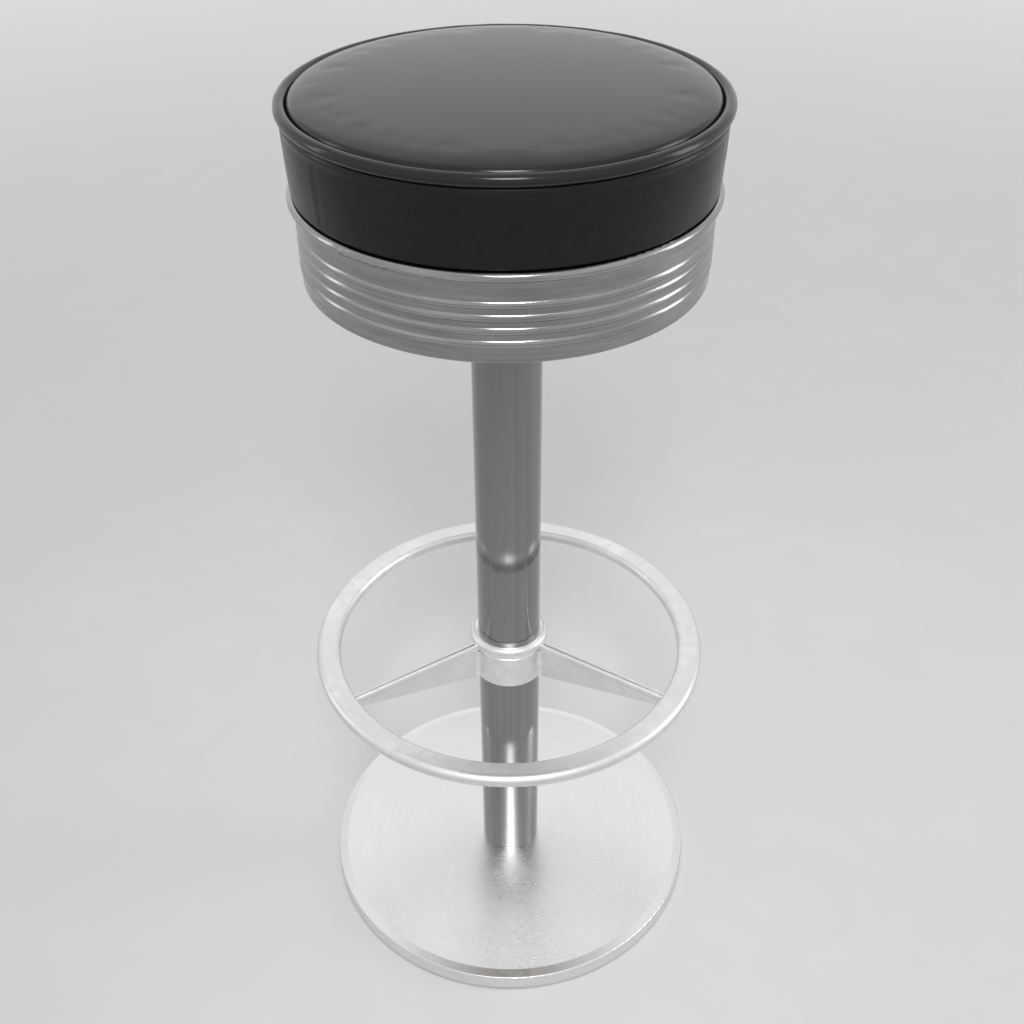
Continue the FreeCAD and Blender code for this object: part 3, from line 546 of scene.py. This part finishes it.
black_vinyl = make_black_vinyl("black_vinyl", 0.15, 0.17, 1.43)
side_vinyl = make_black_vinyl("side_vinyl", 0.24, 0.28, 1.30)
print("Materials", black_vinyl.name, side_vinyl.name)

# %% [markdown]
# ### Metals and other stuff of the hidden pieces
#
# The bearing, the screws and the plates are seen only from below or where the stool is taken
# apart, but each still gets its own finish. Plated and ground steel differ in tone and in the
# fineness of their lines, so one function makes both, and bronze as well.


# %% Materials: machined metals
def make_machined_metal(name, dark, light, rough_low, rough_high, lines_per_metre):
    """A metal turned or ground round its axis, between two tones and two roughnesses."""
    material, tree, shader = new_material(name)
    lines = place_group(tree, turning_lines, Lines_Per_Metre=lines_per_metre, Length_Of_Lines=2.0)
    marks = place_group(tree, handling_marks, Patches_Per_Metre=40.0)
    tree.links.new(blended(tree, lines["Broad"], dark, light), shader.inputs["Base Color"])
    rough = spread(tree, marks["Marks"], 0.0, 1.0, rough_low, rough_high)
    tree.links.new(rough, shader.inputs["Roughness"])
    shader.inputs["Metallic"].default_value = 1.0
    bumped(tree, shader, lines["Fine"], 0.00002)
    return material


plated_steel = make_machined_metal("plated_steel", grey(0.50), grey(0.62), 0.26, 0.40, 1800.0)
bearing_steel = make_machined_metal("bearing_steel", grey(0.62), grey(0.72), 0.08, 0.16, 4000.0)
bronze = make_machined_metal("bronze", (0.52, 0.32, 0.13, 1), (0.66, 0.44, 0.20, 1), 0.24, 0.38, 2600.0)
print("Materials", plated_steel.name, bearing_steel.name, bronze.name)


# %% Materials: grained surfaces
def make_grained(name, dark, light, rough, cells_per_metre, depth):
    """A dull surface with a fine grain: paint, cast iron, rubber or foam."""
    material, tree, shader = new_material(name)
    grain = place_group(tree, cell_grain, Cells_Per_Metre=cells_per_metre, Unevenness=0.8)
    tree.links.new(blended(tree, grain["Patches"], dark, light), shader.inputs["Base Color"])
    shader.inputs["Roughness"].default_value = rough
    bumped(tree, shader, grain["Height"], depth, 0.7)
    return material


black_steel = make_grained("black_steel", grey(0.020), grey(0.035), 0.38, 1400.0, 0.00005)
cast_iron = make_grained("cast_iron", grey(0.08), grey(0.13), 0.72, 700.0, 0.0003)
black_rubber = make_grained("black_rubber", grey(0.016), grey(0.026), 0.80, 1000.0, 0.0001)
foam = make_grained("foam", (0.70, 0.62, 0.42, 1), (0.80, 0.73, 0.54, 1), 0.95, 800.0, 0.0005)
print("Materials", black_steel.name, cast_iron.name, black_rubber.name, foam.name)

# %% [markdown]
# ### Plywood
#
# The seat board is birch plywood. Its edge shows thin plies, light and dark in turn, and its
# faces show a long grain. The plies are read from the height and the grain from noise that
# is stretched along X, and the surface's own normal picks between the two.


# %% Material: plywood
def make_plywood():
    material, tree, shader = new_material("plywood")
    point = add(tree, "TexCoord").outputs["Object"]
    stretched = add(tree, "Mapping", {}, Vector=point, Scale=(6.0, 90.0, 90.0))
    figure = add(
        tree, "TexNoise", {},
        Vector=stretched.outputs[0], Scale=1.0, Detail=6.0, Distortion=0.6,
    )
    face = blended(tree, figure.outputs["Fac"], (0.52, 0.36, 0.20, 1), (0.74, 0.58, 0.38, 1))
    height = add(tree, "SeparateXYZ", {}, Vector=point).outputs["Z"]
    ply = maths(tree, "SINE", maths(tree, "MULTIPLY", height, 3500.0))
    layer = spread(tree, ply, -0.3, 0.3, 0.0, 1.0)
    edge = blended(tree, layer, (0.32, 0.20, 0.10, 1), (0.66, 0.50, 0.32, 1))
    normal = add(tree, "SeparateXYZ", {}, Vector=add(tree, "NewGeometry").outputs["Normal"])
    level = spread(tree, maths(tree, "ABSOLUTE", normal.outputs["Z"]), 0.4, 0.6, 0.0, 1.0)
    tree.links.new(blended(tree, level, edge, face), shader.inputs["Base Color"])
    shader.inputs["Roughness"].default_value = 0.68
    bumped(tree, shader, figure.outputs["Fac"], 0.0002, 0.5)
    return material


plywood = make_plywood()
print("Material", plywood.name)

# %% [markdown]
# ### Floor
#
# The floor is plain and pale, with a hint of unevenness so that it doesn't look cut out. Far
# from the stool it fades into the pale background for rays that are seen, so there is no dark
# horizon. Near the stool it stays a lit floor that takes the shadow.


# %% Material: floor
FADE = (0.9, 5.0)


def make_floor_finish():
    material, tree, shader = new_material("floor_finish")
    marks = place_group(tree, handling_marks, Patches_Per_Metre=2.0)
    tree.links.new(blended(tree, marks["Marks"], grey(0.84), grey(0.86)), shader.inputs["Base Color"])
    shader.inputs["Roughness"].default_value = 0.7
    distance = place_group(tree, round_the_axis)["Distance"]
    far = spread(tree, distance, *FADE, 0.0, 1.0)
    fade = maths(tree, "MULTIPLY", seen_rays(tree), far)
    backdrop = add(tree, "Emission", {}, Color=BACKGROUND, Strength=1.0)
    mixed = add(tree, "MixShader", {}, Fac=fade, n1=shader.outputs[0], n2=backdrop.outputs[0])
    tree.links.new(mixed.outputs[0], tree.nodes["Material Output"].inputs["Surface"])
    return material


floor.data.materials.append(make_floor_finish())

# %% [markdown]
# ## Finishes of the CAD pieces
#
# The record names a material slot for each CAD node. The finish of that name takes the place
# of the node's plain material, and its mesh stays as it is. Only the seat band gets its own
# finer finish of the same metal.

# %% Dress the CAD pieces
FINISHES = {
    material.name: material
    for material in (
        satin_aluminium, cast_aluminium, polished_column, black_vinyl, plated_steel,
        bearing_steel, bronze, black_steel, cast_iron, black_rubber, foam, plywood,
    )
}
for subpart in frame["record"]["subparts"]:
    node = nodes[subpart["node"]]
    node.data.materials.append(FINISHES[subpart["material_slot"]])
nodes["seat_band"].data.materials[0] = band_aluminium
print("Dressed", len(nodes), "CAD pieces")

# %% [markdown]
# ## The foam block
#
# Foam is cut to a round block that stands on the seat board and carries the crown of the top
# panel. Half of its outline is drawn as a line from the axis to the axis, and the spin
# operator turns that line into a closed body. Steps are small because the block is round.


# %% Spinning a line round the axis
def line_bmesh(corners):
    """A bmesh with one line through corners, each (distance from the axis, height) in metres."""
    bm = bmesh.new()
    last = None
    for distance, height in corners:
        vert = bm.verts.new((distance, 0, height))
        if last:
            bm.edges.new((last, vert))
        last = vert
    return bm


def spin_line(bm, steps):
    """Spins everything in bm a full turn round Z, and closes it."""
    bmesh.ops.spin(
        bm, geom=bm.verts[:] + bm.edges[:], cent=(0, 0, 0), axis=(0, 0, 1),
        angle=math.tau, steps=steps, use_merge=True,
    )
    bmesh.ops.remove_doubles(bm, verts=bm.verts, dist=0.00002)
    bmesh.ops.recalc_face_normals(bm, faces=bm.faces)


def finish_piece(piece, material, slot, *replaced):
    """Gives a new seat piece its material and its ride, and hides what it replaces. slot is not used."""
    piece.data.materials.append(material)
    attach(piece, "seat")
    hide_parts(*replaced)


MM = 0.001
VINYL = 1.2 * MM
BOARD_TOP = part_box("seat_board")[1].z
BOARD_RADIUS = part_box("seat_board")[1].x
CROWN_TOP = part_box("top_cover")[1].z
SKIRT_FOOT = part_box("top_cover")[0].z
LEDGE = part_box("seat_band")[1].z + 0.4 * MM
SIDE_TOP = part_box("side_cover")[1].z
SIDE_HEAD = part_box("side_cover")[1].x
FLAP_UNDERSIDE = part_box("side_cover")[0].z
print("Cushion from", round(LEDGE, 4), "to", round(CROWN_TOP, 4))

# %% Foam block
FOAM_GAP = 0.1 * MM
foam_wall = SIDE_HEAD - VINYL - FOAM_GAP - 3 * MM
crown_edge = 136.3 * MM

bm = line_bmesh([
    (0, BOARD_TOP),
    (BOARD_RADIUS - 2 * MM, BOARD_TOP),
    (BOARD_RADIUS, BOARD_TOP + 3 * MM),
    (BOARD_RADIUS, LEDGE + 4 * MM),
    (foam_wall, LEDGE + 12 * MM),
    (foam_wall + 2 * MM, SIDE_TOP - 4 * MM),
    (156 * MM, SIDE_TOP),
    (152 * MM, CROWN_TOP - 9.6 * MM),
    (crown_edge, CROWN_TOP - 5.2 * MM),
    (crown_edge / 2, CROWN_TOP - 2.6 * MM),
    (0, CROWN_TOP - 1.8 * MM),
])
spin_line(bm, 96)
foam_block = joined_mesh("foam_block", bm)
finish_piece(foam_block, foam, "foam", "seat_foam")
print("Foam block faces:", len(foam_block.data.polygons))

# %% [markdown]
# ## The top panel
#
# The top panel is a disc of vinyl, stretched over the foam and sewn to the welt. A disc made
# of rings has a pinched pole in the middle, which a glossy surface shows, so the panel starts
# as a square grid that is pushed into a disc. Its rows are closer near the rim, where the
# shoulder bends. Then the rim is drawn down as a short skirt.
#
# Stuffing is felt as pressure, so a cloth simulation swells the panel between its sewn edge
# and lets it settle as vinyl would. The rim is pinned, and no point may move further than a
# small cap, because the real panel is tight.

# %% Panel outline
SKIRT_RADIUS = 158.3 * MM
GRID_CELLS = 84
RIM_CLOSENESS = 1.45
CROWN_FALL = 3.2 * MM
SHOULDER_SLOPE = 1.1 * MM
SHOULDER_BEND = 3.6 * MM
SEWN_EDGE_FALL = 2.8 * MM
SKIRT_STEPS = 2
SKIRT_STEP = 2.6 * MM


def crown_drop(distance):
    """How far the panel lies below its middle at a distance from the axis."""
    if distance < crown_edge:
        return CROWN_FALL * (distance / crown_edge) ** 2
    past = min((distance - crown_edge) / (SKIRT_RADIUS - crown_edge), 1.0)
    bend = SHOULDER_BEND * past ** 2.2
    return CROWN_FALL + SHOULDER_SLOPE * past + bend + SEWN_EDGE_FALL * past ** 16


def square_to_disc(place):
    """Moves a point of a square of half side 1 into a disc of radius 1."""
    x, y = place.x, place.y
    return Vector((x * math.sqrt(1 - y * y / 2), y * math.sqrt(1 - x * x / 2), 0))


def panel_bmesh():
    bm = bmesh.new()
    bmesh.ops.create_grid(bm, x_segments=GRID_CELLS, y_segments=GRID_CELLS, size=1.0)
    for vert in bm.verts:
        flat = square_to_disc(vert.co)
        share = min(flat.length, 1.0)
        distance = SKIRT_RADIUS * (1 - (1 - share) ** RIM_CLOSENESS)
        direction = flat.normalized() if share > 0 else flat
        vert.co = direction * distance
        vert.co.z = CROWN_TOP - crown_drop(distance)
    rim = [edge for edge in bm.edges if edge.is_boundary]
    for _ in range(SKIRT_STEPS):
        made = bmesh.ops.extrude_edge_only(bm, edges=rim)["geom"]
        lower = [part for part in made if isinstance(part, bmesh.types.BMVert)]
        rim = [part for part in made if isinstance(part, bmesh.types.BMEdge)]
        bmesh.ops.translate(bm, verts=lower, vec=(0, 0, -SKIRT_STEP))
    bmesh.ops.recalc_face_normals(bm, faces=bm.faces)
    return bm


panel = joined_mesh("cushion_top", panel_bmesh())
print("Top panel starts with", len(panel.data.polygons), "faces")


# %% [markdown]
# ### Swelling a panel
#
# This helper runs the cloth. The stiffness of a vertex group holds the sewn parts: weight 1
# is pinned and 0 is free. Gravity is off, because the foam carries the panel. After the run
# each move is shortened, long moves more than short ones, so that none reaches the cap and
# no edge shows where moves are cut off.


# %% Cloth helper
CLOTH_FRAMES = 20


def swell(piece, pinned, pressure, cap):
    """Runs cloth with pressure on a piece and keeps the result. pinned tells a sewn point."""
    sewn = piece.vertex_groups.new(name="sewn")
    for vert in piece.data.vertices:
        if pinned(vert.co):
            sewn.add([vert.index], 1.0, "REPLACE")
    before = [vert.co.copy() for vert in piece.data.vertices]
    cloth = piece.modifiers.new("cloth", "CLOTH")
    cloth.settings.quality = 6
    cloth.settings.use_pressure = True
    cloth.settings.uniform_pressure_force = pressure
    cloth.settings.vertex_group_mass = "sewn"
    cloth.settings.tension_stiffness = 30
    cloth.settings.compression_stiffness = 30
    cloth.settings.shear_stiffness = 12
    cloth.settings.bending_stiffness = 2
    cloth.settings.effector_weights.gravity = 0
    cloth.point_cache.frame_end = CLOTH_FRAMES
    for frame_number in range(1, CLOTH_FRAMES + 1):
        bpy.context.scene.frame_set(frame_number)
    shaped = piece.evaluated_get(bpy.context.evaluated_depsgraph_get()).to_mesh()
    moves = [after.co - start for after, start in zip(shaped.vertices, before)]
    furthest = max(move.length for move in moves)
    for vert, start, move in zip(piece.data.vertices, before, moves):
        vert.co = start + move * (cap / (cap + move.length))
    piece.modifiers.remove(cloth)
    piece.vertex_groups.clear()
    bpy.context.scene.frame_set(1)
    print(piece.name, "swelled by", round(furthest / MM, 2), "mm, kept under", round(cap / MM, 2))


swell(panel, lambda place: place.xy.length > SKIRT_RADIUS - 3 * MM, 4.0, 0.5 * MM)

# %% [markdown]
# ### Gathers
#
# The panel's edge is a little longer than the seam that it is sewn to, and the spare length
# lies in small pleats that run inwards and fade. Noise round the circle gives ridges of
# uneven width, and a second, slower noise makes them strong in some places and absent in
# others. Last comes the thickness of the vinyl.


# %% Gathers and thickness
def ripple(direction, pleats, seed):
    """Between -1 and 1: a ripple that runs inwards, uneven round the circle."""
    spot = Vector((direction.x * pleats, direction.y * pleats, seed))
    place_in_turn = noise.noise(Vector((direction.x * 1.7, direction.y * 1.7, seed + 7)))
    strength = min(max(0.35 + 1.6 * place_in_turn, 0.0), 1.0)
    return noise.noise(spot) * strength


def gathered(direction):
    """How strongly the panel is gathered in a direction: most at its left front and its right."""
    strength = 0.04
    for turn, width in ((215, 34), (335, 30), (20, 26)):
        middle = Vector((math.cos(math.radians(turn)), math.sin(math.radians(turn))))
        strength += math.exp(-(direction.angle(middle) / math.radians(width)) ** 2)
    return strength


def add_gathers(piece, depth, reach):
    for vert in piece.data.vertices:
        distance = vert.co.xy.length
        if distance < SKIRT_RADIUS - 4 * reach or distance > SKIRT_RADIUS - 0.3 * MM:
            continue
        direction = vert.co.xy.normalized()
        inward = SKIRT_RADIUS - distance
        fade = math.exp(-inward / reach) * min(inward / (4 * MM), 1.0) * gathered(direction)
        vert.co.z += depth * fade * ripple(direction, 22.0, 3.0)
        vert.co.z += 0.5 * depth * fade * ripple(direction, 11.0, 9.0)


def give_thickness(piece, thickness):
    """Smooths a sheet by one subdivision and gives it thickness inwards, as applied meshes."""
    smoother = piece.modifiers.new("smoother", "SUBSURF")
    smoother.levels = smoother.render_levels = 1
    wall = piece.modifiers.new("thickness", "SOLIDIFY")
    wall.thickness = thickness
    wall.offset = -1
    shaped = bpy.data.meshes.new_from_object(
        piece.evaluated_get(bpy.context.evaluated_depsgraph_get()),
    )
    piece.modifiers.clear()
    piece.data = shaped


add_gathers(panel, 0.07 * MM, 13 * MM)
give_thickness(panel, VINYL)
finish_piece(panel, black_vinyl, "black_vinyl", "top_cover")
print("Top panel ends with", len(panel.data.polygons), "faces")

# %% [markdown]
# ## The side panel
#
# The side is a long strip of vinyl, sewn into a ring. At the bottom it is drawn in over the
# top of the band, goes down inside it and folds under the seat board, where staples hold it.
# Its outline is a line again: from the inner end of the flap, out and up to the seam. The
# wall bulges a little between its edges, and a narrow fold lies just under the welt, where
# the seam allowance is caught. The line takes its corners in short steps, so that they come
# out round.

# %% Side panel
BEND = 1.5 * MM
cover_inside = 157.8 * MM
flap_inner = 127.8 * MM
cushion_foot = 161.95 * MM
wall_height = SIDE_TOP - LEDGE


def wall_point(share, proud):
    """A point of the wall, share of the way up, moved outwards by proud."""
    return (cushion_foot + (SIDE_HEAD - cushion_foot) * share + proud, LEDGE + wall_height * share)


wall = [wall_point(step / 14, 0.45 * MM * math.sin(math.pi * step / 14)) for step in range(1, 12)]
ridge = [
    wall_point(0.845, 0.10 * MM),
    wall_point(0.880, 0.0 * MM),
    wall_point(0.905, 0.35 * MM),
    wall_point(0.930, 0.55 * MM),
    wall_point(0.955, 0.30 * MM),
    wall_point(0.980, -0.25 * MM),
]
inside_height = LEDGE - FLAP_UNDERSIDE - 2 * BEND
flap_width = cover_inside - BEND - flap_inner
inside = [(cover_inside, FLAP_UNDERSIDE + BEND + inside_height * step / 6) for step in range(7)]
flap = [(flap_inner + flap_width * step / 6, FLAP_UNDERSIDE) for step in range(7)]
bm = line_bmesh([
    *flap,
    *inside,
    (cover_inside + 0.5 * MM, LEDGE - 0.05 * MM),
    (cushion_foot - BEND, LEDGE),
    (cushion_foot - 0.35 * BEND, LEDGE + 0.25 * BEND),
    (cushion_foot, LEDGE + BEND),
    *wall,
    *ridge,
    wall_point(1.0, -0.6 * MM),
    (SKIRT_RADIUS + 0.3 * MM, SIDE_TOP),
])
spin_line(bm, 216)
side = joined_mesh("cushion_side", bm)


def on_the_wall(place):
    """Whether a point is on the free wall, between the fold and the ridge under the welt."""
    return LEDGE + 3 * MM < place.z < LEDGE + 0.86 * wall_height and place.xy.length > cushion_foot - MM


swell(side, lambda place: not on_the_wall(place), 3.0, 0.5 * MM)
print("Side panel starts with", len(side.data.polygons), "faces")

# %% [markdown]
# ### Seam and creases of the side
#
# The strip's two ends meet in an upright seam: a shallow groove with a slightly raised edge
# on each side. Vinyl that is pulled round a cushion also has faint level creases, and short
# upright pleats above the band, where it is drawn in.

# %% Seam and creases
SIDE_SEAM_TURN = math.radians(218)
seam_direction = Vector((math.cos(SIDE_SEAM_TURN), math.sin(SIDE_SEAM_TURN)))


def seam_shape(place):
    """How far the seam moves a point outwards: a groove between two low ridges."""
    if place.xy.dot(seam_direction) < 0:
        return 0.0
    aside = abs(place.xy.x * seam_direction.y - place.xy.y * seam_direction.x)
    ridge_part = 0.35 * MM * math.exp(-((aside - 3.2 * MM) / (1.8 * MM)) ** 2)
    return ridge_part - 0.7 * MM * math.exp(-(aside / (1.3 * MM)) ** 2)


def crease_shape(place):
    """Faint creases: level ones over the wall, and upright pleats near its foot."""
    direction = place.xy.normalized()
    level = Vector((direction.x * 2.2, direction.y * 2.2, place.z * 95))
    upright = Vector((direction.x * 24, direction.y * 24, place.z * 12))
    foot = math.exp(-(place.z - LEDGE) / (9 * MM))
    return 0.28 * MM * noise.noise(level) + 0.5 * MM * foot * noise.noise(upright)


def add_creases(piece):
    for vert in piece.data.vertices:
        if not on_the_wall(vert.co):
            continue
        outward = vert.co.xy.normalized()
        up = (vert.co.z - LEDGE) / wall_height
        fade = min(up / 0.08, (0.9 - up) / 0.08, 1.0)
        move = outward * (seam_shape(vert.co) + crease_shape(vert.co)) * max(fade, 0.0)
        vert.co.x += move.x
        vert.co.y += move.y


add_creases(side)
give_thickness(side, VINYL)
finish_piece(side, side_vinyl, "black_vinyl", "side_cover")
print("Side panel ends with", len(side.data.polygons), "faces")

# %% [markdown]
# ## The welt
#
# The welt is a strip of vinyl sewn round a thick cord, and it stands between the two panels.
# A small circle is spun round the axis. The cord inside is not quite even, so the circle
# swells and shrinks by a tenth of a millimetre or two on its way round.

# %% Welt
WELT_RADIUS = 4.7 * MM
welt_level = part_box("welt")[0].z + WELT_RADIUS
welt_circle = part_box("welt")[1].x - WELT_RADIUS

bm = bmesh.new()
place = Matrix.Translation((welt_circle, 0, welt_level)) @ Matrix.Rotation(math.pi / 2, 4, "X")
bmesh.ops.create_circle(bm, segments=28, radius=WELT_RADIUS, matrix=place)
spin_line(bm, 288)
for vert in bm.verts:
    direction = vert.co.xy.normalized()
    middle = Vector((direction.x * welt_circle, direction.y * welt_circle, welt_level))
    swelling = noise.noise(Vector((direction.x * 9, direction.y * 9, 1)))
    vert.co = middle + (vert.co - middle) * (1 + 0.035 * swelling)
welt = joined_mesh("cushion_welt", bm)
finish_piece(welt, black_vinyl, "black_vinyl", "welt")
print("Welt faces:", len(welt.data.polygons))
